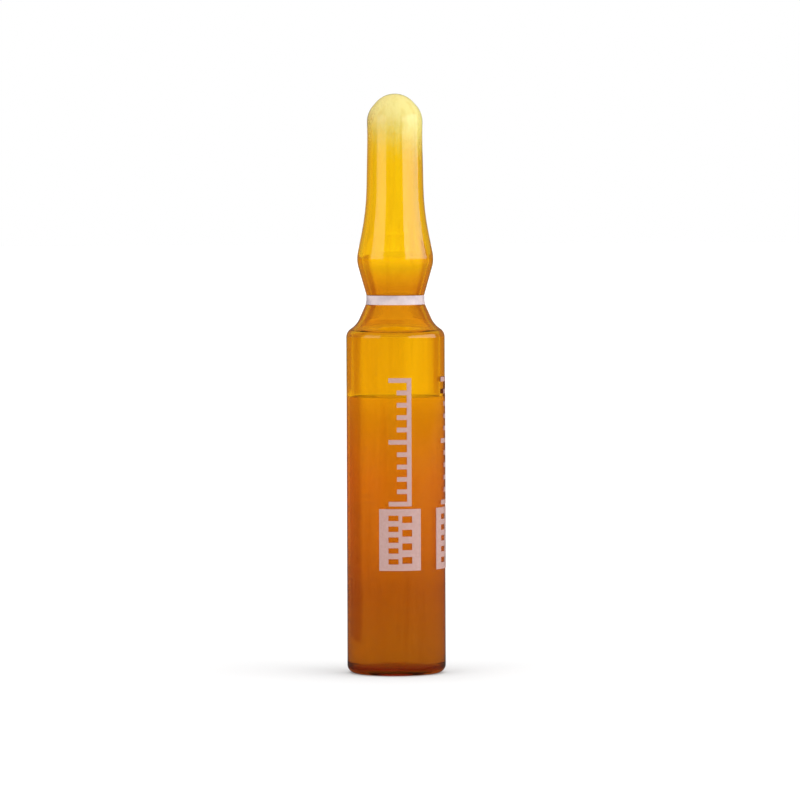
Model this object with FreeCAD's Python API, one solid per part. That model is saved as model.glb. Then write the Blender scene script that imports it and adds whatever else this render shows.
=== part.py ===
"""Sealed glass ampoule of two millilitres, standing on its foot.

Millimetres. +Z runs up the axis, the origin is the middle of the foot on the surface
that it stands on, and the first printed motif faces -Y.
"""
import FreeCAD, Part
import math
import os
from collections import namedtuple

# Body, a drawn tube
body_diameter = 10.75
body_height = 36.7  # foot to the top of the straight wall
glass_wall = 0.5

# Foot: a flat ring round a shallow push-up
foot_diameter = 7.4  # where the flat ring ends and the push-up begins
foot_edge_round = 0.35
push_up = 0.6
heel_round = 0.9
floor_wall = 0.6
inner_heel_round = 0.8

# Shoulder and the flare below the neck
shoulder_round = 1.1
flare_diameter = 7.4
flare_above_body = 3.05
flare_round = 2.5

# Neck, the narrow throat where the ampoule snaps
neck_diameter = 6.25
neck_above_body = 4.2
neck_round = 1.85

# Bulb over the neck
bulb_diameter = 8.3
bulb_above_neck = 4.35
bulb_round = 3.55

# Stem, drawn from the bulb, with a slight waist under its sealed tip
stem_diameter = 6.2
stem_above_bulb = 8.3
stem_round = 28.0
waist_diameter = 6.0
waist_below_tip = 4.7
waist_round = 40.0
tip_diameter = 6.06
tip_widest_below_top = 3.07
tip_round = 2.7
tip_above_neck = 22.3
tip_wall = 1.0  # glass gathered at the seal

# Contents
fill_height = 30.2  # foot to the middle of the liquid's surface
meniscus_rise = 0.05  # further up the wall
meniscus_round = 1.2

# Enamel, fired on to the glass
enamel_thickness = 0.04
ring_width = 1.0
ring_below_neck = 0.15
motif_count = 2
motif_spacing = 6.9  # round the wall, from one to the next
first_motif_angle = -90.0

# Printed panel, with two columns of bare windows
panel_bottom = 11.5
panel_height = 6.7
panel_width = 4.64  # round the wall
left_windows = 5
right_windows = 4
window_column = 5.9  # height that each column shares out among its windows
window_share = 0.5  # of a window's share of the column, the rest is printed
window_width = 1.1
window_spread = 1.5  # between the two columns

# Printed scale of tenths of a millilitre over the panel
scale_above_panel = 0.3
scale_below_shoulder = 4.0
scale_width = 2.5
scale_short_tick = 1.6
scale_line = 0.5
scale_long_every = 5
tick_volume = 100.0  # cubic millimetres

body_radius = body_diameter / 2
bore_radius = body_radius - glass_wall
neck_height = body_height + neck_above_body
bulb_height = neck_height + bulb_above_neck
stem_height = bulb_height + stem_above_bulb
total_height = neck_height + tip_above_neck

axis_foot = FreeCAD.Vector(0, 0, 0)
axis_up = FreeCAD.Vector(0, 0, 1)

# A round of the outline: its centre, and its radius, which is negative where the outline is hollow
Round = namedtuple("Round", "r z bend")


def wall_rounds(inset):
    """Rounds from the shoulder to the waist, for the outline that lies inset inside the glass."""
    waist_height = total_height - waist_below_tip
    crests = [
        (body_diameter, body_height, shoulder_round),
        (flare_diameter, body_height + flare_above_body, -flare_round),
        (neck_diameter, neck_height, -neck_round),
        (bulb_diameter, bulb_height, bulb_round),
        (stem_diameter, stem_height, -stem_round),
        (waist_diameter, waist_height, -waist_round),
    ]
    return [Round(across / 2 - bend, height, bend - inset) for across, height, bend in crests]


def push_up_round():
    """Dome of the push-up, which touches the round of the foot's inner edge."""
    foot_radius = foot_diameter / 2
    dome = (foot_radius**2 + push_up**2) / (2 * push_up) - foot_edge_round
    return Round(0, push_up - dome, -dome)


def outer_rounds():
    """Rounds of the glass's outer face, from the axis under the foot to the axis at the tip."""
    foot_edge = Round(foot_diameter / 2, foot_edge_round, foot_edge_round)
    heel = Round(body_radius - heel_round, heel_round, heel_round)
    tip_side = Round(tip_diameter / 2 - tip_round, total_height - tip_widest_below_top, tip_round)
    crown = Round(0, total_height - tip_round, tip_round)
    return [push_up_round(), foot_edge, heel, *wall_rounds(0), tip_side, crown]


def cavity_rounds():
    """Rounds of the glass's inner face. The floor follows the push-up, and the seal is thicker."""
    dome = push_up_round()
    floor = Round(dome.r, dome.z, dome.bend - floor_wall)
    reach = inner_heel_round - floor.bend
    heel_centre = bore_radius - inner_heel_round
    heel_height = floor.z + math.sqrt(reach**2 - heel_centre**2)
    heel = Round(heel_centre, heel_height, inner_heel_round)
    dome_radius = tip_diameter / 2 - glass_wall
    tip_dome = Round(0, total_height - tip_wall - dome_radius, dome_radius)
    return [floor, heel, *wall_rounds(glass_wall), tip_dome]


def touching_angle(first, second):
    """Direction, as an angle, of the right-hand side of the straight run that touches two rounds."""
    across = second.r - first.r
    up = second.z - first.z
    share = (second.bend - first.bend) / math.hypot(across, up)
    return math.atan2(up, across) + math.acos(max(-1.0, min(1.0, share))) + math.pi


def at_round(a_round, angle):
    """Point of a round where the outline's right-hand side faces that way."""
    r = a_round.r + a_round.bend * math.cos(angle)
    z = a_round.z + a_round.bend * math.sin(angle)
    return FreeCAD.Vector(r, 0, z)


def round_arc(a_round, start, end):
    """Arc of a round between two facing angles, turning left if it bulges and right if it is hollow."""
    turn = (end - start) % (2 * math.pi)
    if a_round.bend < 0:
        turn -= 2 * math.pi
    points = [at_round(a_round, start + turn * share) for share in (0.0, 0.5, 1.0)]
    return Part.Arc(*points).toShape()


def turned_solid(rounds):
    """Solid turned about the axis from arcs joined by the straight runs that touch them."""
    joins = [touching_angle(a, b) for a, b in zip(rounds, rounds[1:])]
    foot_angle = -math.pi / 2
    starts = [foot_angle, *joins]
    ends = [*joins, math.pi / 2]
    edges = []
    for a_round, start, end in zip(rounds, starts, ends):
        arc = round_arc(a_round, start, end)
        first = at_round(a_round, start)
        if edges and (first - last).Length > 1e-6:
            edges.append(Part.makeLine(last, first))
        edges.append(arc)
        last = at_round(a_round, end)
    edges.append(Part.makeLine(last, at_round(rounds[0], foot_angle)))
    return Part.Face(Part.Wire(edges)).revolve(axis_foot, axis_up, 360)


def liquid_shape(cavity):
    """What fills the cavity up to a surface that is flat and curls up at the wall."""
    lean = math.acos(1 - meniscus_rise / meniscus_round)
    flat_radius = bore_radius - meniscus_round * math.sin(lean)
    middle = FreeCAD.Vector(0, 0, fill_height)
    flat_end = FreeCAD.Vector(flat_radius, 0, fill_height)
    curl = FreeCAD.Vector(
        flat_radius + meniscus_round * math.sin(lean / 2),
        0,
        fill_height + meniscus_round * (1 - math.cos(lean / 2)),
    )
    contact = FreeCAD.Vector(bore_radius, 0, fill_height + meniscus_rise)
    rim = FreeCAD.Vector(body_radius, 0, contact.z)
    rim_foot = FreeCAD.Vector(body_radius, 0, 0)
    edges = [
        Part.makeLine(middle, flat_end),
        Part.Arc(flat_end, curl, contact).toShape(),
        Part.makeLine(contact, rim),
        Part.makeLine(rim, rim_foot),
        Part.makeLine(rim_foot, axis_foot),
        Part.makeLine(axis_foot, middle),
    ]
    below_surface = Part.Face(Part.Wire(edges)).revolve(axis_foot, axis_up, 360)
    return cavity.common(below_surface)


def ring_shape(envelope):
    """Enamel break ring, which follows the throat's curve."""
    raised = [Round(a.r, a.z, a.bend + enamel_thickness) for a in outer_rounds()]
    bottom = FreeCAD.Vector(0, 0, neck_height - ring_below_neck - ring_width / 2)
    slice_of_neck = Part.makeCylinder(body_radius, ring_width, bottom, axis_up)
    return turned_solid(raised).common(slice_of_neck).cut(envelope)


def enamel_patch(along, width, bottom, height):
    """Curved patch of enamel on the body. along and width are measured round the wall."""
    corners = [
        FreeCAD.Vector(body_radius, 0, bottom),
        FreeCAD.Vector(body_radius + enamel_thickness, 0, bottom),
        FreeCAD.Vector(body_radius + enamel_thickness, 0, bottom + height),
        FreeCAD.Vector(body_radius, 0, bottom + height),
    ]
    section = Part.Face(Part.makePolygon([*corners, corners[0]]))
    section.rotate(axis_foot, axis_up, math.degrees(along / body_radius))
    return section.revolve(axis_foot, axis_up, math.degrees(width / body_radius))


def panel_shape():
    """White panel with two columns of windows, left bare so that the glass shows."""
    panel = enamel_patch(-panel_width / 2, panel_width, panel_bottom, panel_height)
    middle = panel_bottom + panel_height / 2
    windows = []
    for side, rows in ((-1, left_windows), (1, right_windows)):
        left = side * window_spread / 2 - window_width / 2
        pitch = window_column / rows
        for row in range(rows):
            height = middle + (row - (rows - 1) / 2) * pitch
            bottom = height - pitch * window_share / 2
            windows.append(enamel_patch(left, window_width, bottom, pitch * window_share))
    return panel.cut(windows)


def scale_shape():
    """Scale whose ticks part the bore into equal volumes, on a line up its right side."""
    pitch = tick_volume / (math.pi * bore_radius**2)
    bottom = panel_bottom + panel_height + scale_above_panel
    room = body_height - scale_below_shoulder - bottom
    steps = max(1, int(room / pitch))
    right = scale_width / 2
    spine = enamel_patch(right - scale_line, scale_line, bottom, steps * pitch + scale_line)
    ticks = []
    for step in range(steps + 1):
        width = scale_short_tick if step % scale_long_every else scale_width
        ticks.append(enamel_patch(right - width, width, bottom + step * pitch, scale_line))
    return spine.fuse(ticks).removeSplitter()


def motif_shape(angle):
    """One printed motif, a panel under a scale, turned to its place round the body."""
    motif = Part.makeCompound([*panel_shape().Solids, *scale_shape().Solids])
    motif.rotate(axis_foot, axis_up, angle)
    return motif


def build():
    """Every sub-part by name."""
    envelope = turned_solid(outer_rounds())
    cavity = turned_solid(cavity_rounds())
    parts = {
        "ampoule_glass": envelope.cut(cavity),
        "liquid_fill": liquid_shape(cavity),
        "break_ring": ring_shape(envelope),
    }
    for number in range(motif_count):
        turn = math.degrees(number * motif_spacing / body_radius)
        parts[f"printed_motif_{number + 1}"] = motif_shape(first_motif_angle + turn)
    return parts


os.makedirs("parts", exist_ok=True)
for name, shape in build().items():
    shape.exportStep(f"parts/{name}.step")
    print(name, len(shape.Solids), "solids", round(shape.Volume, 3), "mm3")
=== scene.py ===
"""Looks of a sealed amber glass ampoule that stands on its foot and holds two millilitres of liquid.

Metres. +Z runs up the ampoule's axis from the middle of its foot. Sizes are named in millimetres and
multiplied by MM, and the outline's sizes are the ones that the solids were made from.
"""
import math
from collections import namedtuple

import bpy
import numpy as np
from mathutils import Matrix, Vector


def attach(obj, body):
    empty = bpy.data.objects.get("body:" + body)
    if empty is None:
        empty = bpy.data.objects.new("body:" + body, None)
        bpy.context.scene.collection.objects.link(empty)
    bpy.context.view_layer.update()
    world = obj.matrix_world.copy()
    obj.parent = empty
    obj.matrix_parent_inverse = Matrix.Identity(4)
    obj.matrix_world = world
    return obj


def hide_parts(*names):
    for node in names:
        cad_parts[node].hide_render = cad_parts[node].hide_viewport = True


MM = 0.001

# Outline of the glass, in millimetres
BODY_DIAMETER = 10.75
BODY_HEIGHT = 36.7
GLASS_WALL = 0.5
FOOT_DIAMETER = 7.4
FOOT_EDGE_ROUND = 0.35
PUSH_UP = 0.6
HEEL_ROUND = 0.9
FLOOR_WALL = 0.6
INNER_HEEL_ROUND = 0.8
SHOULDER_ROUND = 1.1
FLARE_DIAMETER = 7.4
FLARE_ABOVE_BODY = 3.05
FLARE_ROUND = 2.5
NECK_DIAMETER = 6.25
NECK_ABOVE_BODY = 4.2
NECK_ROUND = 1.85
BULB_DIAMETER = 8.3
BULB_ABOVE_NECK = 4.35
BULB_ROUND = 3.55
STEM_DIAMETER = 6.2
STEM_ABOVE_BULB = 8.3
STEM_ROUND = 28.0
WAIST_DIAMETER = 6.0
WAIST_BELOW_TIP = 4.7
WAIST_ROUND = 40.0
TIP_DIAMETER = 6.06
TIP_WIDEST_BELOW_TOP = 3.07
TIP_ROUND = 2.7
TIP_ABOVE_NECK = 22.3
TIP_WALL = 1.0

# Liquid
FILL_HEIGHT = 30.2
MENISCUS_RISE = 0.05
MENISCUS_ROUND = 1.2
LIQUID_OVERLAP = 0.04  # how far the liquid's skin lies inside the wall, so that no air film shows
LIQUID_BEVEL = 0.01  # at the line where the liquid's side meets its surface

# Enamel
ENAMEL_THICKNESS = 0.04
ENAMEL_SINK = 0.02  # how far its underside lies in the glass that it is fused to
RING_WIDTH = 1.0
RING_BELOW_NECK = 0.15
RING_SQUARENESS = 8  # of its swell over the glass, which is the squarer the larger this power
MOTIF_COUNT = 2
MOTIF_SPACING = 6.9
FIRST_MOTIF_ANGLE = -90.0
PANEL_BOTTOM = 11.5
PANEL_HEIGHT = 6.7
PANEL_WIDTH = 4.64
LEFT_WINDOWS = 5
RIGHT_WINDOWS = 4
WINDOW_COLUMN = 5.9
WINDOW_SHARE = 0.5
WINDOW_WIDTH = 1.1
WINDOW_SPREAD = 1.5
SCALE_ABOVE_PANEL = 0.3
SCALE_BELOW_SHOULDER = 4.0
SCALE_WIDTH = 2.5
SCALE_SHORT_TICK = 1.6
SCALE_LINE = 0.5
SCALE_LONG_EVERY = 5
TICK_VOLUME = 100.0

BODY_RADIUS = BODY_DIAMETER / 2
BORE_RADIUS = BODY_RADIUS - GLASS_WALL
NECK_HEIGHT = BODY_HEIGHT + NECK_ABOVE_BODY
BULB_HEIGHT = NECK_HEIGHT + BULB_ABOVE_NECK
STEM_HEIGHT = BULB_HEIGHT + STEM_ABOVE_BULB
TOTAL_HEIGHT = NECK_HEIGHT + TIP_ABOVE_NECK
DOME_RADIUS = TIP_DIAMETER / 2 - GLASS_WALL  # of the hollow's end under the tip
DOME_HEIGHT = TOTAL_HEIGHT - TIP_WALL - DOME_RADIUS

# Fineness of the meshes
TURN_STEPS = 160
ARC_STEP = math.radians(3)
MENISCUS_ROWS = 16
RING_ROWS = 31
PATCH_STEP = 0.2  # millimetres round the wall
SAME_POINT = 1e-6  # millimetres under which two points count as one

# Camera, from the photograph's frame of 800 by 800 pixels
FRAME_PIXELS = 800
PIXELS_PER_MM = 9.17
AXIS_PIXEL = 395.7  # where the ampoule's axis crosses the middle row
LOOK_HEIGHT = 29.8
CAMERA_HEIGHT = 56.0
CAMERA_DISTANCE = 600.0
CAMERA_AZIMUTH = -4.9
CAMERA_ROLL = 0.2
SENSOR_WIDTH = 36.0

# Studio, in millimetres, degrees from the camera round the ampoule, and radiance
LIT_LEVEL = 0.72  # of the surroundings, where they light a surface
MIRRORED_LEVEL = 0.12  # where gloss reflects them
BACKDROP_SPREAD = 10.0  # of the white backdrop that gloss reflects behind the ampoule
BACKDROP_FADE = 5.0  # past each of its sides
FLOOR_COLOUR = "E6E6E6"
FLOOR_MIRRORED_COLOUR = "484848"  # where gloss reflects it
FLOOR_SIZE = 6000.0
FLOOR_FAR = 700.0  # the floor glows by itself, the more up to here, where the lamps' light fades
FLOOR_NEAR_GLOW = 0.1
FLOOR_FAR_GLOW = 0.65
LAMP_DISTANCE = 500.0
LEFT_LAMP = {"side": -58.0, "width": 400.0, "low": 32.0, "high": 300.0, "radiance": 1.6}
RIGHT_LAMP = {"side": 70.0, "width": 800.0, "low": 32.0, "high": 300.0, "radiance": 2.6}
TOP_LAMP = {"height": 500.0, "size": 900.0, "radiance": 0.8}

# Tinted sheets behind the ampoule, seen only through its glass, which paint shade: darker bands in the glass
# in place of darker surroundings. Each has its tone, and its left, right, low and high edges in millimetres,
# to the camera's right of the axis and over the floor
PAINTED_SHADE_BEHIND = 30.0  # how far behind the axis
PAINTED_SHADE_FADE = 0.2  # share of a sheet's width over which it fades out at each side
PAINTED_SHADE_TONES = {"amber": "D2B49E", "orange": "DBC1AC", "straw": "F3E8DA", "grey": "ECF0EC"}
PAINTED_SHADE_SHEETS = {
    "far_left_shade_sheet": ("amber", -40.0, -15.0, 29.2, 46.0),
    "left_shade_sheet": ("amber", -18.0, -5.8, 29.2, 46.0),
    "right_shade_sheet": ("amber", 5.0, 37.0, 29.2, 48.0),
    "liquid_shade_sheet": ("orange", 8.5, 27.0, 0.5, 29.2),
    "middle_shade_sheet": ("straw", -7.5, 2.4, 29.2, 36.2),
    "left_stem_shade_sheet": ("grey", -30.0, -5.0, 48.0, 60.0),
    "right_stem_shade_sheet": ("grey", 4.0, 40.0, 48.0, 60.0),
}

# Tints of the glass from foot to tip, as height in millimetres and sRGB. They hold painted shade, darker
# towards the foot and below the bulb's widest line, and painted light, paler at the tip
TINTS_WITH_PAINTED_SHADE_AND_LIGHT = [
    (3.0, "D2B26E"),
    (8.9, "D3AC6E"),
    (13.8, "E1BA6E"),
    (21.0, "E6C26E"),
    (28.0, "E8D370"),
    (31.0, "F2E370"),
    (36.5, "F2E370"),
    (38.5, "EBCF70"),
    (42.0, "E4C670"),
    (43.3, "EDD870"),
    (44.2, "EFE371"),
    (45.1, "FBF073"),
    (45.8, "FFF973"),
    (56.0, "FFF973"),
    (61.0, "FFFFA8"),
]

# Painted light on the tip's outer face, which is made partly diffuse and pale, in millimetres
PAINTED_TIP_LIGHT_HEIGHT = 58.8  # where half of the face is made pale
PAINTED_TIP_LIGHT_FADE = 12.0  # height that the speck noise adds to a place, at most
PAINTED_TIP_LIGHT_SPECK = 0.04
PAINTED_TIP_LIGHT_SPECK_EDGE = 0.4  # height over which one place turns from clear to pale
PAINTED_TIP_LIGHT_CLEARNESS = 0.38  # share of the light that a speck lets through
PAINTED_TIP_LIGHT_SLANT = -0.35  # how much further up the painted light starts, for each step towards +X

# Draw lines along the glass, in millimetres, and their tints by the level of their noise
DRAW_LINE_WIDTH = 0.7
DRAW_LINE_LENGTH = 14.0
DRAW_LINE_DEPTH = 0.007
DRAW_LINE_TINTS = [(0.5, "FFFFFF"), (0.68, "FAF5E8")]

# Enamel's coat, in millimetres and sRGB. It is uneven in patches, and grained by the screen's mesh
RING_COAT = {"patch": 1.4, "thin": "D4C4CB", "thick": "F8E7E8"}
PRINT_COAT = {"patch": 0.3, "thin": "CFA69E", "thick": "D7B2AC"}
THIN_LEVEL = 0.3  # of the patches' noise, where the coat has its thin colour
THICK_LEVEL = 0.7
SCREEN_MESH = 0.12
SCREEN_GRAIN_DEPTH = 0.005
ENAMEL_PASSES = 0.25  # share of its look that is light from behind

# A round of the outline: its centre, and its radius, which is negative where the outline is hollow
Round = namedtuple("Round", "r z bend")


def wall_rounds(inset):
    """Rounds from the shoulder to the waist, for the outline that lies inset inside the glass."""
    crests = [
        (BODY_DIAMETER, BODY_HEIGHT, SHOULDER_ROUND),
        (FLARE_DIAMETER, BODY_HEIGHT + FLARE_ABOVE_BODY, -FLARE_ROUND),
        (NECK_DIAMETER, NECK_HEIGHT, -NECK_ROUND),
        (BULB_DIAMETER, BULB_HEIGHT, BULB_ROUND),
        (STEM_DIAMETER, STEM_HEIGHT, -STEM_ROUND),
        (WAIST_DIAMETER, TOTAL_HEIGHT - WAIST_BELOW_TIP, -WAIST_ROUND),
    ]
    return [Round(across / 2 - bend, height, bend - inset) for across, height, bend in crests]


def push_up_round():
    """Dome of the push-up, which touches the round of the foot's inner edge."""
    foot_radius = FOOT_DIAMETER / 2
    dome = (foot_radius**2 + PUSH_UP**2) / (2 * PUSH_UP) - FOOT_EDGE_ROUND
    return Round(0, PUSH_UP - dome, -dome)


def outer_rounds():
    """Rounds of the glass's outer face, from the axis under the foot to the axis at the tip."""
    foot_edge = Round(FOOT_DIAMETER / 2, FOOT_EDGE_ROUND, FOOT_EDGE_ROUND)
    heel = Round(BODY_RADIUS - HEEL_ROUND, HEEL_ROUND, HEEL_ROUND)
    tip_side = Round(TIP_DIAMETER / 2 - TIP_ROUND, TOTAL_HEIGHT - TIP_WIDEST_BELOW_TOP, TIP_ROUND)
    crown = Round(0, TOTAL_HEIGHT - TIP_ROUND, TIP_ROUND)
    return [push_up_round(), foot_edge, heel, *wall_rounds(0), tip_side, crown]


def cavity_rounds():
    """Rounds of the glass's inner face, with a thicker seal at the tip."""
    dome = push_up_round()
    floor = Round(dome.r, dome.z, dome.bend - FLOOR_WALL)
    reach = INNER_HEEL_ROUND - floor.bend
    heel_centre = BORE_RADIUS - INNER_HEEL_ROUND
    heel_height = floor.z + math.sqrt(reach**2 - heel_centre**2)
    heel = Round(heel_centre, heel_height, INNER_HEEL_ROUND)
    tip_dome = Round(0, DOME_HEIGHT, DOME_RADIUS)
    return [floor, heel, *wall_rounds(GLASS_WALL), tip_dome]


def touching_angle(first, second):
    """Direction, as an angle, of the right-hand side of the straight run that touches two rounds."""
    across = second.r - first.r
    up = second.z - first.z
    share = (second.bend - first.bend) / math.hypot(across, up)
    return math.atan2(up, across) + math.acos(max(-1.0, min(1.0, share))) + math.pi


def outline(rounds):
    """Rows (r, z, across, up) of an outline in millimetres, with the way that the glass faces there: each
    round's arc is its centre plus its bend times (cos, sin) of the facing angle, which runs between those
    of the two straight runs that touch the round."""
    joins = [touching_angle(a, b) for a, b in zip(rounds, rounds[1:])]
    starts = [-math.pi / 2, *joins]
    ends = [*joins, math.pi / 2]
    arcs = []
    for a_round, start, end in zip(rounds, starts, ends):
        turn = (end - start) % (2 * math.pi)
        if a_round.bend < 0:
            turn -= 2 * math.pi
        steps = max(2, math.ceil(abs(turn) / ARC_STEP))
        angle = start + turn * np.linspace(0, 1, steps + 1)
        facing = np.stack([np.cos(angle), np.sin(angle)], axis=1)
        arcs.append(np.hstack([[a_round.r, a_round.z] + a_round.bend * facing, facing]))
    profile = np.concatenate(arcs)
    gaps = np.hypot(*np.diff(profile[:, :2], axis=0).T)
    return profile[np.concatenate([[True], gaps > SAME_POINT])]


def turned_surface(profile):
    """Vertices, facing directions and faces of a profile of rows (r, z, across, up) turned about Z. Vertex
    (i, j) is (r cos a, r sin a, z) of row i at angle a = 2 pi j / TURN_STEPS, and faces (across cos a,
    across sin a, up). An end on the axis is one vertex with a fan."""
    r, z, across, up = profile.T
    inner = slice(int(r[0] < SAME_POINT), len(r) - int(r[-1] < SAME_POINT))
    angle = np.linspace(0, 2 * math.pi, TURN_STEPS, endpoint=False)
    flat = np.ones(TURN_STEPS)

    def turned(out, height):
        """Every row of a pair of columns at every angle."""
        parts = [np.outer(out, np.cos(angle)), np.outer(out, np.sin(angle)), np.outer(height, flat)]
        return np.stack(parts, axis=-1).reshape(-1, 3)

    verts = turned(r[inner], z[inner]) * MM
    facing = turned(across[inner], up[inner])
    index = np.arange(len(verts)).reshape(-1, TURN_STEPS)
    ahead = np.roll(index, -1, axis=1)
    faces = np.stack([index[:-1], ahead[:-1], ahead[1:], index[1:]], axis=-1).reshape(-1, 4).tolist()
    if r[0] < SAME_POINT:
        pole = np.full(TURN_STEPS, len(verts))
        verts = np.vstack([verts, [0, 0, z[0] * MM]])
        facing = np.vstack([facing, [0, 0, up[0]]])
        faces += np.stack([pole, ahead[0], index[0]], axis=-1).tolist()
    if r[-1] < SAME_POINT:
        pole = np.full(TURN_STEPS, len(verts))
        verts = np.vstack([verts, [0, 0, z[-1] * MM]])
        facing = np.vstack([facing, [0, 0, up[-1]]])
        faces += np.stack([index[-1], ahead[-1], pole], axis=-1).tolist()
    return verts, facing, faces


def joined(*surfaces):
    """Several surfaces as one."""
    verts, facing, faces = zip(*surfaces)
    shifts = np.cumsum([0, *map(len, verts[:-1])]).tolist()
    shifted = [[corner + shift for corner in face] for shift, own in zip(shifts, faces) for face in own]
    return np.vstack(verts), np.vstack(facing), shifted


def turned_inside_out(surface):
    """The same surface facing the other way."""
    verts, facing, faces = surface
    return verts, -facing, [face[::-1] for face in faces]


def piece(name, surface, material, node):
    """A finished piece: a smooth mesh that stands for a CAD node and rides on the root body. Its shading
    takes the exact facing directions, so that a long straight wall bends light as a true cylinder does."""
    verts, facing, faces = surface
    mesh = bpy.data.meshes.new(name)
    mesh.from_pydata(verts.tolist(), [], faces)
    mesh.polygons.foreach_set("use_smooth", np.ones(len(mesh.polygons), dtype=bool))
    mesh.normals_split_custom_set_from_vertices(facing.tolist())
    mesh.materials.append(material)
    made = bpy.data.objects.new(name, mesh)
    bpy.context.scene.collection.objects.link(made)
    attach(made, "root")
    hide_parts(node)


def glass_surface():
    """The glass: its outer face, and the cavity's face turned inside out."""
    return joined(
        turned_surface(outline(outer_rounds())),
        turned_inside_out(turned_surface(outline(cavity_rounds()))),
    )


def liquid_surface():
    """The liquid: the cavity grown by the overlap up to the line where the liquid meets the wall, closed by
    a surface that falls from there on an arc of MENISCUS_ROUND and is flat in the middle."""
    floor, heel, shoulder, *_ = cavity_rounds()
    grown = outline([Round(a.r, a.z, a.bend + LIQUID_OVERLAP) for a in (floor, heel, shoulder)])
    wetted = grown[grown[:, 1] < BODY_HEIGHT / 2]
    contact_height = FILL_HEIGHT + MENISCUS_RISE
    wall_radius = BORE_RADIUS + LIQUID_OVERLAP
    lean = math.acos(1 - MENISCUS_RISE / MENISCUS_ROUND)
    flat_radius = BORE_RADIUS - MENISCUS_ROUND * math.sin(lean)
    angle = lean * np.linspace(1, 0, MENISCUS_ROWS)
    curl = np.stack([
        flat_radius + MENISCUS_ROUND * np.sin(angle),
        FILL_HEIGHT + MENISCUS_ROUND * (1 - np.cos(angle)),
        -np.sin(angle),
        np.cos(angle),
    ], axis=1)
    rim = [
        [wall_radius, contact_height - LIQUID_BEVEL, 1, 0],
        [wall_radius - LIQUID_BEVEL, contact_height, *curl[0, 2:]],
    ]
    middle = [[flat_radius / 2, FILL_HEIGHT, 0, 1], [0, FILL_HEIGHT, 0, 1]]
    return turned_surface(np.vstack([wetted, rim, curl, middle]))


def ring_surface():
    """Break ring: a closed band along the throat. Its swell over the glass is ENAMEL_THICKNESS times 1 -
    share**RING_SQUARENESS, where share is 0 in its middle and 1 at its edges."""
    low = NECK_HEIGHT - RING_BELOW_NECK - RING_WIDTH / 2
    wall = outline(outer_rounds())
    share = np.sin(np.linspace(-math.pi / 2, math.pi / 2, RING_ROWS))
    height = low + RING_WIDTH * (1 + share) / 2
    radius = np.interp(height, wall[:, 1], wall[:, 0])
    face = np.stack([radius + ENAMEL_THICKNESS * (1 - share**RING_SQUARENESS), height], axis=1)
    back = np.stack([radius - ENAMEL_SINK, height], axis=1)[::-1]
    loop = np.vstack([face, back])
    run = np.roll(loop, -1, axis=0) - np.roll(loop, 1, axis=0)
    facing = np.stack([run[:, 1], -run[:, 0]], axis=1)
    facing /= np.hypot(*facing.T)[:, None]
    rows = np.hstack([loop, facing])
    verts, facing, faces = turned_surface(np.vstack([rows, rows[:1]]))
    kept = len(verts) - TURN_STEPS
    return verts[:kept], facing[:kept], (np.array(faces) % kept).tolist()


def fine_lines(lines):
    """Cell borders round the wall, with more between them so that no cell is wider than PATCH_STEP."""
    parts = [
        np.linspace(a, b, max(1, math.ceil((b - a) / PATCH_STEP)), endpoint=False)
        for a, b in zip(lines, lines[1:])
    ]
    return np.concatenate([*parts, lines[-1:]])


def print_patch(boxes, holes, angle):
    """Curved patch of enamel from flat rectangles (left, bottom, right, top), less the holes. A point at
    (along, height) goes to the wall's radius at the angle along / BODY_RADIUS from the motif's middle."""
    every = np.array(boxes + holes)
    along = fine_lines(np.unique(np.round(every[:, [0, 2]], 6)))
    height = np.unique(np.round(every[:, [1, 3]], 6))
    middle_along = (along[:-1] + along[1:]) / 2
    middle_height = (height[:-1] + height[1:]) / 2

    def covered(rectangles):
        """Cells whose middle lies in one of the rectangles."""
        inside = np.zeros((len(middle_height), len(middle_along)), dtype=bool)
        for left, bottom, right, top in rectangles:
            across = (middle_along > left) & (middle_along < right)
            inside |= np.outer((middle_height > bottom) & (middle_height < top), across)
        return inside

    full = covered(boxes) & ~covered(holes)
    turn = math.radians(angle) + along / BODY_RADIUS
    level = np.repeat(height, len(along))
    out = np.tile(np.stack([np.cos(turn), np.sin(turn), 0 * turn], axis=1), (len(height), 1))
    up = np.stack([0 * level, 0 * level, level], axis=1)
    face, back = BODY_RADIUS + ENAMEL_THICKNESS, BODY_RADIUS - ENAMEL_SINK
    verts = np.vstack([face * out + up, back * out + up]) * MM
    facing = np.vstack([out, -out])
    index = np.arange(len(height) * len(along)).reshape(len(height), len(along))
    under = index + index.size
    a, b = index[:-1, :-1], index[:-1, 1:]
    c, d = index[1:, 1:], index[1:, :-1]
    au, bu = under[:-1, :-1], under[:-1, 1:]
    cu, du = under[1:, 1:], under[1:, :-1]
    padded = np.pad(full, 1)
    below, above = padded[:-2, 1:-1], padded[2:, 1:-1]
    before, after = padded[1:-1, :-2], padded[1:-1, 2:]
    quads = np.concatenate([
        np.stack([a, b, c, d], axis=-1)[full],
        np.stack([du, cu, bu, au], axis=-1)[full],
        np.stack([au, bu, b, a], axis=-1)[full & ~below],
        np.stack([d, c, cu, du], axis=-1)[full & ~above],
        np.stack([du, au, a, d], axis=-1)[full & ~before],
        np.stack([b, bu, cu, c], axis=-1)[full & ~after],
    ])
    used, faces = np.unique(quads, return_inverse=True)
    return verts[used], facing[used], faces.reshape(-1, 4).tolist()


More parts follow.
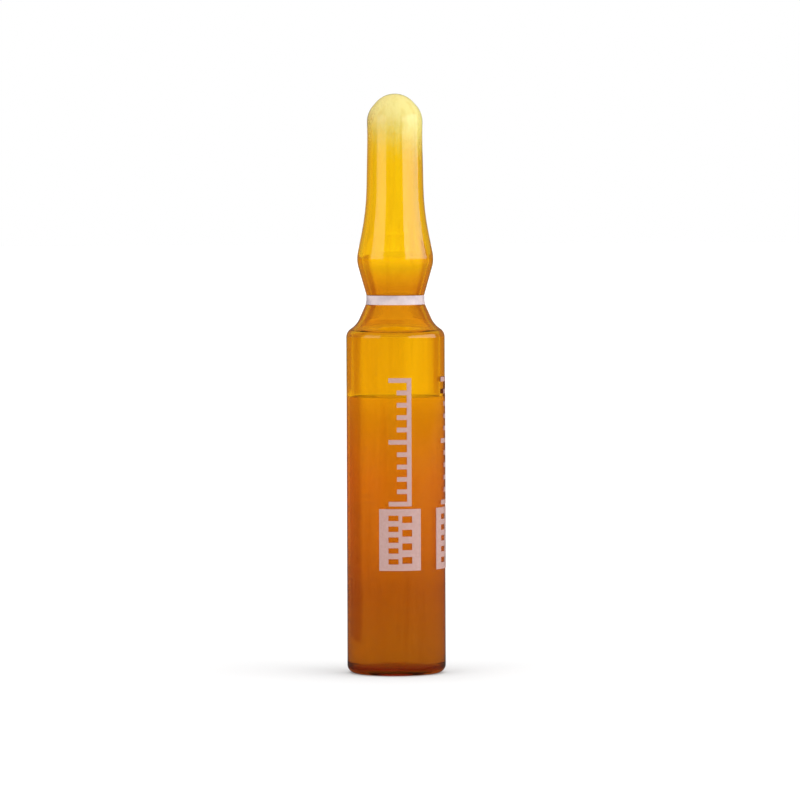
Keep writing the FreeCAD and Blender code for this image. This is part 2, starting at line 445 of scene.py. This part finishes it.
def motif_surface(angle):
    """One printed motif: a panel with two columns of bare windows, under a scale whose ticks part the
    bore into equal volumes."""
    middle = PANEL_BOTTOM + PANEL_HEIGHT / 2
    panel_top = PANEL_BOTTOM + PANEL_HEIGHT
    panel = [(-PANEL_WIDTH / 2, PANEL_BOTTOM, PANEL_WIDTH / 2, panel_top)]
    windows = []
    for side, rows in ((-1, LEFT_WINDOWS), (1, RIGHT_WINDOWS)):
        left = side * WINDOW_SPREAD / 2 - WINDOW_WIDTH / 2
        pitch = WINDOW_COLUMN / rows
        for row in range(rows):
            bottom = middle + (row - (rows - 1) / 2) * pitch - pitch * WINDOW_SHARE / 2
            windows.append((left, bottom, left + WINDOW_WIDTH, bottom + pitch * WINDOW_SHARE))
    pitch = TICK_VOLUME / (math.pi * BORE_RADIUS**2)
    scale_bottom = panel_top + SCALE_ABOVE_PANEL
    steps = int((BODY_HEIGHT - SCALE_BELOW_SHOULDER - scale_bottom) / pitch)
    right = SCALE_WIDTH / 2
    scale = [(right - SCALE_LINE, scale_bottom, right, scale_bottom + steps * pitch + SCALE_LINE)]
    for step in range(steps + 1):
        width = SCALE_SHORT_TICK if step % SCALE_LONG_EVERY else SCALE_WIDTH
        bottom = scale_bottom + step * pitch
        scale.append((right - width, bottom, right, bottom + SCALE_LINE))
    return joined(print_patch(panel, windows, angle), print_patch(scale, [], angle))


def linear(code):
    """Linear colour of an sRGB hex code, with alpha 1."""
    share = np.array([int(code[i : i + 2], 16) for i in (0, 2, 4)]) / 255
    value = np.where(share <= 0.04045, share / 12.92, ((share + 0.055) / 1.055) ** 2.4)
    return (*value.tolist(), 1.0)


def add_node(tree, kind, inputs=(), stops=(), **settings):
    """Adds a node, sets its settings, fills its colour ramp with stops (position, sRGB code) if there are
    any, and sets or links each of its inputs."""
    node = tree.nodes.new(kind)
    for name, value in settings.items():
        setattr(node, name, value)
    if stops:
        ramp = node.color_ramp.elements
        for _ in range(len(stops) - len(ramp)):
            ramp.new(0.5)
        for stop, (position, code) in zip(ramp, stops):
            stop.position = position
            stop.color = linear(code)
    for name, value in dict(inputs).items():
        if isinstance(value, bpy.types.NodeSocket):
            tree.links.new(value, node.inputs[name])
        else:
            node.inputs[name].default_value = value
    return node


def new_material(name):
    """An empty node material and its output node."""
    material = bpy.data.materials.new(name)
    material.use_nodes = True
    material.node_tree.nodes.clear()
    return material, material.node_tree, add_node(material.node_tree, "ShaderNodeOutputMaterial")


def outer_face(tree, split):
    """1 on the glass's outer face at the tip, and 0 on the hollow's face there. A place is on the outer
    one if it lies further than the dome's radius and half the wall from the dome's centre or, below
    that, from the axis."""
    over_dome = add_node(tree, "ShaderNodeMath", {
        0: split.outputs["Z"],
        1: DOME_HEIGHT * MM,
    }, operation="SUBTRACT")
    raised = add_node(tree, "ShaderNodeMath", {0: over_dome.outputs[0], 1: 0.0}, operation="MAXIMUM")
    from_dome = add_node(tree, "ShaderNodeCombineXYZ", {
        "X": split.outputs["X"],
        "Y": split.outputs["Y"],
        "Z": raised.outputs[0],
    })
    reach = add_node(tree, "ShaderNodeVectorMath", {0: from_dome.outputs["Vector"]}, operation="LENGTH")
    outside = add_node(tree, "ShaderNodeMath", {
        0: reach.outputs["Value"],
        1: (DOME_RADIUS + GLASS_WALL / 2) * MM,
    }, operation="GREATER_THAN")
    return outside.outputs[0]


def painted_tip_light_clearness(tree, place, split):
    """Share of the light that the glass's surface lets through. The outer face at the tip is made partly
    diffuse and pale, which is painted light, in specks that thin out downwards: a place is pale where its
    height, the slant's share and the speck noise's share add up to enough."""
    slanted = add_node(tree, "ShaderNodeMath", {
        0: split.outputs["X"],
        1: -PAINTED_TIP_LIGHT_SLANT,
        2: split.outputs["Z"],
    }, operation="MULTIPLY_ADD")
    specks = add_node(tree, "ShaderNodeTexNoise", {
        "Vector": place.outputs["Object"],
        "Scale": 1 / (PAINTED_TIP_LIGHT_SPECK * MM),
        "Detail": 0.0,
    })
    level = add_node(tree, "ShaderNodeMath", {
        0: specks.outputs["Fac"],
        1: PAINTED_TIP_LIGHT_FADE * MM,
        2: slanted.outputs[0],
    }, operation="MULTIPLY_ADD")
    enough = PAINTED_TIP_LIGHT_HEIGHT + PAINTED_TIP_LIGHT_FADE / 2
    # painted light: the pale, diffuse share of the tip's outer face
    painted_light_ramp = add_node(tree, "ShaderNodeMapRange", {
        "Value": level.outputs[0],
        "From Min": (enough - PAINTED_TIP_LIGHT_SPECK_EDGE / 2) * MM,
        "From Max": (enough + PAINTED_TIP_LIGHT_SPECK_EDGE / 2) * MM,
        "To Max": 1.0 - PAINTED_TIP_LIGHT_CLEARNESS,
    })
    painted_light_share = add_node(tree, "ShaderNodeMath", {
        0: painted_light_ramp.outputs[0],
        1: outer_face(tree, split),
    }, operation="MULTIPLY")
    clear = add_node(tree, "ShaderNodeMath", {0: 1.0, 1: painted_light_share.outputs[0]}, operation="SUBTRACT")
    return clear.outputs[0]


def amber_glass():
    """Amber borosilicate tube, drawn and then shaped in a flame. What is seen through it is coloured by its
    depth, and a little more by a tint that holds painted shade, darker towards the foot and below the bulb's
    widest line, and painted light, paler at the tip. Faint draw lines ripple it and tint it, and the outer
    face of the tip is made partly diffuse and pale in specks, which is painted light."""
    material, tree, output = new_material("amber_borosilicate_glass")
    place = add_node(tree, "ShaderNodeTexCoord")
    split = add_node(tree, "ShaderNodeSeparateXYZ", {"Vector": place.outputs["Object"]})
    height = add_node(tree, "ShaderNodeMapRange", {
        "Value": split.outputs["Z"],
        "From Max": TOTAL_HEIGHT * MM,
    })
    drawn = add_node(tree, "ShaderNodeMapping", {
        "Vector": place.outputs["Object"],
        "Scale": (
            1 / (DRAW_LINE_WIDTH * MM),
            1 / (DRAW_LINE_WIDTH * MM),
            1 / (DRAW_LINE_LENGTH * MM),
        ),
    })
    lines = add_node(tree, "ShaderNodeTexNoise", {
        "Vector": drawn.outputs["Vector"],
        "Scale": 1.0,
        "Detail": 2.0,
    })
    waves = add_node(tree, "ShaderNodeBump", {
        "Height": lines.outputs["Fac"],
        "Strength": 1.0,
        "Distance": DRAW_LINE_DEPTH * MM,
    })
    # painted shade and light: the tint is darker towards the foot and below the bulb's widest line, and
    # paler at the tip
    tint_with_painted_shading = add_node(tree, "ShaderNodeValToRGB", {
        "Fac": height.outputs["Result"],
    }, stops=[(level / TOTAL_HEIGHT, code) for level, code in TINTS_WITH_PAINTED_SHADE_AND_LIGHT])
    streaks = add_node(tree, "ShaderNodeValToRGB", {"Fac": lines.outputs["Fac"]}, stops=DRAW_LINE_TINTS)
    streaked = add_node(tree, "ShaderNodeMix", {
        0: 1.0,
        6: tint_with_painted_shading.outputs["Color"],
        7: streaks.outputs["Color"],
    }, data_type="RGBA", blend_type="MULTIPLY")
    surface = add_node(tree, "ShaderNodeBsdfPrincipled", {
        "Base Color": streaked.outputs[2],
        "Roughness": 0.05,
        "IOR": 1.49,
        # painted light at the tip, where the outer face lets less through and shows its pale tint
        "Transmission Weight": painted_tip_light_clearness(tree, place, split),
        "Normal": waves.outputs["Normal"],
    })
    depth = add_node(tree, "ShaderNodeVolumeAbsorption", {"Color": linear("FEF300"), "Density": 4500.0})
    tree.links.new(surface.outputs["BSDF"], output.inputs["Surface"])
    tree.links.new(depth.outputs["Volume"], output.inputs["Volume"])
    return material


def dosing_liquid():
    """Watery liquid with a slight orange tint, clear right through."""
    material, tree, output = new_material("orange_watery_liquid")
    surface = add_node(tree, "ShaderNodeBsdfPrincipled", {
        "Base Color": linear("FFFFFF"),
        "Roughness": 0.0,
        "IOR": 1.35,
        "Transmission Weight": 1.0,
    })
    depth = add_node(tree, "ShaderNodeVolumeAbsorption", {"Color": linear("F7E500"), "Density": 200.0})
    tree.links.new(surface.outputs["BSDF"], output.inputs["Surface"])
    tree.links.new(depth.outputs["Volume"], output.inputs["Volume"])
    return material


def fired_enamel(name, patch, thin, thick):
    """White ceramic enamel, screen-printed and fired on to the glass. It is satin, darker in patches where
    the coat is thin, grained by the screen's mesh, and lets some of the light behind it through."""
    material, tree, output = new_material(name)
    place = add_node(tree, "ShaderNodeTexCoord")
    coat = add_node(tree, "ShaderNodeTexNoise", {
        "Vector": place.outputs["Object"],
        "Scale": 1 / (patch * MM),
        "Detail": 3.0,
    })
    colour = add_node(tree, "ShaderNodeValToRGB", {
        "Fac": coat.outputs["Fac"],
    }, stops=[(THIN_LEVEL, thin), (THICK_LEVEL, thick)])
    mesh_grain = add_node(tree, "ShaderNodeTexNoise", {
        "Vector": place.outputs["Object"],
        "Scale": 1 / (SCREEN_MESH * MM),
        "Detail": 2.0,
    })
    gloss = add_node(tree, "ShaderNodeMapRange", {
        "Value": mesh_grain.outputs["Fac"],
        "To Min": 0.2,
        "To Max": 0.35,
    })
    grain = add_node(tree, "ShaderNodeBump", {
        "Height": mesh_grain.outputs["Fac"],
        "Strength": 0.5,
        "Distance": SCREEN_GRAIN_DEPTH * MM,
    })
    front = add_node(tree, "ShaderNodeBsdfPrincipled", {
        "Base Color": colour.outputs["Color"],
        "Roughness": gloss.outputs["Result"],
        "IOR": 1.5,
        "Normal": grain.outputs["Normal"],
    })
    back = add_node(tree, "ShaderNodeBsdfTranslucent", {"Color": colour.outputs["Color"]})
    both = add_node(tree, "ShaderNodeMixShader", {
        0: ENAMEL_PASSES,
        1: front.outputs[0],
        2: back.outputs[0],
    })
    tree.links.new(both.outputs[0], output.inputs["Surface"])
    return material


def behind(tree, vector):
    """1 where a vector from the ampoule points at the white backdrop behind it, and 0 elsewhere."""
    way = add_node(tree, "ShaderNodeVectorMath", {0: vector}, operation="NORMALIZE")
    depth = add_node(tree, "ShaderNodeVectorMath", {
        0: way.outputs["Vector"],
        1: tuple(around(180, 1 / MM, 0)),
    }, operation="DOT_PRODUCT")
    half_width = math.radians(BACKDROP_SPREAD) / 2
    return add_node(tree, "ShaderNodeMapRange", {
        "Value": depth.outputs["Value"],
        "From Min": math.cos(half_width + math.radians(BACKDROP_FADE)),
        "From Max": math.cos(half_width),
    }).outputs["Result"]


def pale_floor():
    """Pale card that keeps the shadow. Where it is seen it also glows, more with distance as the lamps'
    light fades, so that it meets the white background. Gloss mirrors the glow only behind the ampoule."""
    material, tree, output = new_material("pale_card")
    path = add_node(tree, "ShaderNodeLightPath")
    mirrored = add_node(tree, "ShaderNodeMath", {
        0: path.outputs["Is Glossy Ray"],
        1: path.outputs["Is Transmission Ray"],
    }, operation="SUBTRACT")
    colour = add_node(tree, "ShaderNodeMix", {
        0: mirrored.outputs[0],
        6: linear(FLOOR_COLOUR),
        7: linear(FLOOR_MIRRORED_COLOUR),
    }, data_type="RGBA")
    card = add_node(tree, "ShaderNodeBsdfPrincipled", {"Base Color": colour.outputs[2], "Roughness": 0.9})
    place = add_node(tree, "ShaderNodeTexCoord")
    away = add_node(tree, "ShaderNodeVectorMath", {0: place.outputs["Object"]}, operation="LENGTH")
    glow = add_node(tree, "ShaderNodeMapRange", {
        "Value": away.outputs["Value"],
        "From Max": FLOOR_FAR * MM,
        "To Min": FLOOR_NEAR_GLOW,
        "To Max": FLOOR_FAR_GLOW,
    })
    backdrop = add_node(tree, "ShaderNodeMath", {
        0: behind(tree, place.outputs["Object"]),
        1: mirrored.outputs[0],
    }, operation="MULTIPLY")
    shown = add_node(tree, "ShaderNodeMath", {
        0: glow.outputs[0],
        1: seen_ray(tree),
        2: backdrop.outputs[0],
    }, operation="MULTIPLY_ADD")
    light = add_node(tree, "ShaderNodeEmission", {"Strength": shown.outputs[0]})
    both = add_node(tree, "ShaderNodeAddShader", {0: card.outputs[0], 1: light.outputs[0]})
    tree.links.new(both.outputs[0], output.inputs["Surface"])
    return material


def seen_ray(tree):
    """1 for a ray from the camera, or on its way through glass, and 0 otherwise."""
    path = add_node(tree, "ShaderNodeLightPath")
    seen = add_node(tree, "ShaderNodeMath", {
        0: path.outputs["Is Camera Ray"],
        1: path.outputs["Is Transmission Ray"],
    }, operation="MAXIMUM")
    return seen.outputs[0]


def white_world():
    """World that lights softly, and is plain white directly and through glass. Gloss mirrors that white
    behind the ampoule, and a dimmer room elsewhere."""
    world = bpy.data.worlds.new("white_studio")
    world.use_nodes = True
    tree = world.node_tree
    tree.nodes.clear()
    path = add_node(tree, "ShaderNodeLightPath")
    place = add_node(tree, "ShaderNodeTexCoord")
    mirrored = add_node(tree, "ShaderNodeMapRange", {
        "Value": behind(tree, place.outputs["Generated"]),
        "To Min": MIRRORED_LEVEL,
        "To Max": 1.0,
    })
    unseen = add_node(tree, "ShaderNodeMapRange", {
        "Value": path.outputs["Is Glossy Ray"],
        "To Min": LIT_LEVEL,
        "To Max": mirrored.outputs["Result"],
    })
    strength = add_node(tree, "ShaderNodeMath", {
        0: unseen.outputs[0],
        1: seen_ray(tree),
    }, operation="MAXIMUM")
    background = add_node(tree, "ShaderNodeBackground", {
        "Color": linear("FFFFFF"),
        "Strength": strength.outputs[0],
    })
    output = add_node(tree, "ShaderNodeOutputWorld")
    tree.links.new(background.outputs[0], output.inputs["Surface"])
    bpy.context.scene.world = world


def around(side, distance, height):
    """Point, in metres, at a distance and height in millimetres and at an angle round the ampoule in
    degrees to the right of the camera."""
    angle = math.radians(CAMERA_AZIMUTH + side)
    return np.array([math.sin(angle) * distance, -math.cos(angle) * distance, height]) * MM


def area_lamp(name, place, aim, width, height, radiance):
    """Rectangular soft light at a place, turned to face another, both in metres. It is as wide and high
    as said in millimetres, and radiance times pi is its power for each square metre."""
    data = bpy.data.lights.new(name, "AREA")
    data.shape = "RECTANGLE"
    data.size = width * MM
    data.size_y = height * MM
    data.energy = radiance * math.pi * data.size * data.size_y
    lamp = bpy.data.objects.new(name, data)
    bpy.context.scene.collection.objects.link(lamp)
    lamp.location = place
    lamp.rotation_mode = "QUATERNION"
    lamp.rotation_quaternion = Vector(place - aim).to_track_quat("Z", "Y")
    lamp.visible_camera = False
    lamp.visible_transmission = False
    return lamp


def side_lamp(name, side, width, low, high, radiance):
    """Upright soft light that faces the ampoule's axis."""
    height = (low + high) / 2
    place = around(side, LAMP_DISTANCE, height)
    return area_lamp(name, place, np.array([0, 0, height * MM]), width, high - low, radiance)


def painted_shade_film(tone):
    """Tinted sheet that paints shade into what is seen through the glass. It passes what is behind it,
    tinted, and fades out at its sides.
    """
    material, tree, output = new_material(f"{tone}_shade_painting_film")
    place = add_node(tree, "ShaderNodeTexCoord")
    split = add_node(tree, "ShaderNodeSeparateXYZ", {"Vector": place.outputs["Object"]})
    off_middle = add_node(tree, "ShaderNodeMath", {0: split.outputs["X"]}, operation="ABSOLUTE")
    faded = add_node(tree, "ShaderNodeMapRange", {
        "Value": off_middle.outputs[0],
        "From Min": 0.5 - PAINTED_SHADE_FADE,
        "From Max": 0.5,
    }, interpolation_type="SMOOTHSTEP")
    tint_with_painted_shading = add_node(tree, "ShaderNodeMix", {
        0: faded.outputs["Result"],
        6: linear(PAINTED_SHADE_TONES[tone]),
        7: linear("FFFFFF"),
    }, data_type="RGBA")
    film = add_node(tree, "ShaderNodeBsdfTransparent", {"Color": tint_with_painted_shading.outputs[2]})
    tree.links.new(film.outputs[0], output.inputs["Surface"])
    return material


def flat_sheet(name, corners, material):
    """Flat object with four corners."""
    mesh = bpy.data.meshes.new(name)
    mesh.from_pydata(corners, [], [(0, 1, 2, 3)])
    mesh.materials.append(material)
    made = bpy.data.objects.new(name, mesh)
    bpy.context.scene.collection.objects.link(made)
    return made


def painted_shade_sheet(name, film, left, right, low, high):
    """Upright sheet of painted shade across the view behind the ampoule, as a unit square that is scaled and
    moved.
    """
    sheet = flat_sheet(name, [(-0.5, 0, -0.5), (0.5, 0, -0.5), (0.5, 0, 0.5), (-0.5, 0, 0.5)], film)
    sheet.scale = ((right - left) * MM, 1, (high - low) * MM)
    sheet.rotation_euler = (0, 0, math.radians(CAMERA_AZIMUTH))
    across = around(90, (left + right) / 2, 0)
    sheet.location = around(180, PAINTED_SHADE_BEHIND, (low + high) / 2) + across
    sheet.visible_camera = False
    sheet.visible_diffuse = False
    sheet.visible_glossy = False
    sheet.visible_shadow = False


def studio():
    """Floor, white surroundings, soft lamps, and sheets of painted shade seen only through the glass."""
    half = FLOOR_SIZE * MM / 2
    corners = [(-half, -half, 0), (half, -half, 0), (half, half, 0), (-half, half, 0)]
    floor = flat_sheet("floor", corners, pale_floor())
    white_world()
    side_lamp("left_softbox", **LEFT_LAMP)
    side_lamp("right_softbox", **RIGHT_LAMP)
    top = np.array([0, 0, TOP_LAMP["height"] * MM])
    size = TOP_LAMP["size"]
    lamp = area_lamp("top_softbox", top, np.zeros(3), size, size, TOP_LAMP["radiance"])
    lamp.visible_glossy = False
    # sheets of painted shade, seen only through the glass
    films = {tone: painted_shade_film(tone) for tone in PAINTED_SHADE_TONES}
    for name, (tone, *edges) in PAINTED_SHADE_SHEETS.items():
        painted_shade_sheet(name, films[tone], *edges)


def camera():
    """Camera at the photograph's viewing angle."""
    data = bpy.data.cameras.new("camera")
    data.sensor_width = SENSOR_WIDTH
    frame_width = FRAME_PIXELS / PIXELS_PER_MM
    data.lens = SENSOR_WIDTH * CAMERA_DISTANCE / frame_width
    data.clip_start = 0.01
    data.clip_end = 10.0
    made = bpy.data.objects.new("camera", data)
    bpy.context.scene.collection.objects.link(made)
    angle = math.radians(CAMERA_AZIMUTH)
    right = np.array([math.cos(angle), math.sin(angle), 0])
    shift = right * (FRAME_PIXELS / 2 - AXIS_PIXEL) / PIXELS_PER_MM * MM
    place = around(0, CAMERA_DISTANCE, CAMERA_HEIGHT) + shift
    aim = np.array([0, 0, LOOK_HEIGHT * MM]) + shift
    made.location = place
    made.rotation_mode = "QUATERNION"
    turn = Vector(aim - place).to_track_quat("-Z", "Y")
    roll = Matrix.Rotation(math.radians(-CAMERA_ROLL), 3, "Z").to_quaternion()
    made.rotation_quaternion = turn @ roll
    bpy.context.scene.camera = made


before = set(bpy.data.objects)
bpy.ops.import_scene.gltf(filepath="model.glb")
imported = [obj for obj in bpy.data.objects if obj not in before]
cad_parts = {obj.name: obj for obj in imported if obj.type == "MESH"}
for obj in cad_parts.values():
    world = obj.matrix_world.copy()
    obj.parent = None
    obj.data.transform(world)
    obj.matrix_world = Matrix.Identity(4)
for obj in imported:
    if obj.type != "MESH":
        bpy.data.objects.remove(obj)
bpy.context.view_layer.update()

glass = amber_glass()
ring_enamel = fired_enamel("fired_white_ring_enamel", **RING_COAT)
print_enamel = fired_enamel("fired_white_print_enamel", **PRINT_COAT)
piece("amber_glass_wall", glass_surface(), glass, "ampoule_glass")
piece("liquid_charge", liquid_surface(), dosing_liquid(), "liquid_fill")
piece("enamel_break_ring", ring_surface(), ring_enamel, "break_ring")
for number in range(MOTIF_COUNT):
    angle = FIRST_MOTIF_ANGLE + math.degrees(number * MOTIF_SPACING / BODY_RADIUS)
    piece(
        f"enamel_print_{number + 1}",
        motif_surface(angle),
        print_enamel,
        f"printed_motif_{number + 1}",
    )

studio()
camera()
bpy.context.scene.view_settings.view_transform = "Standard"
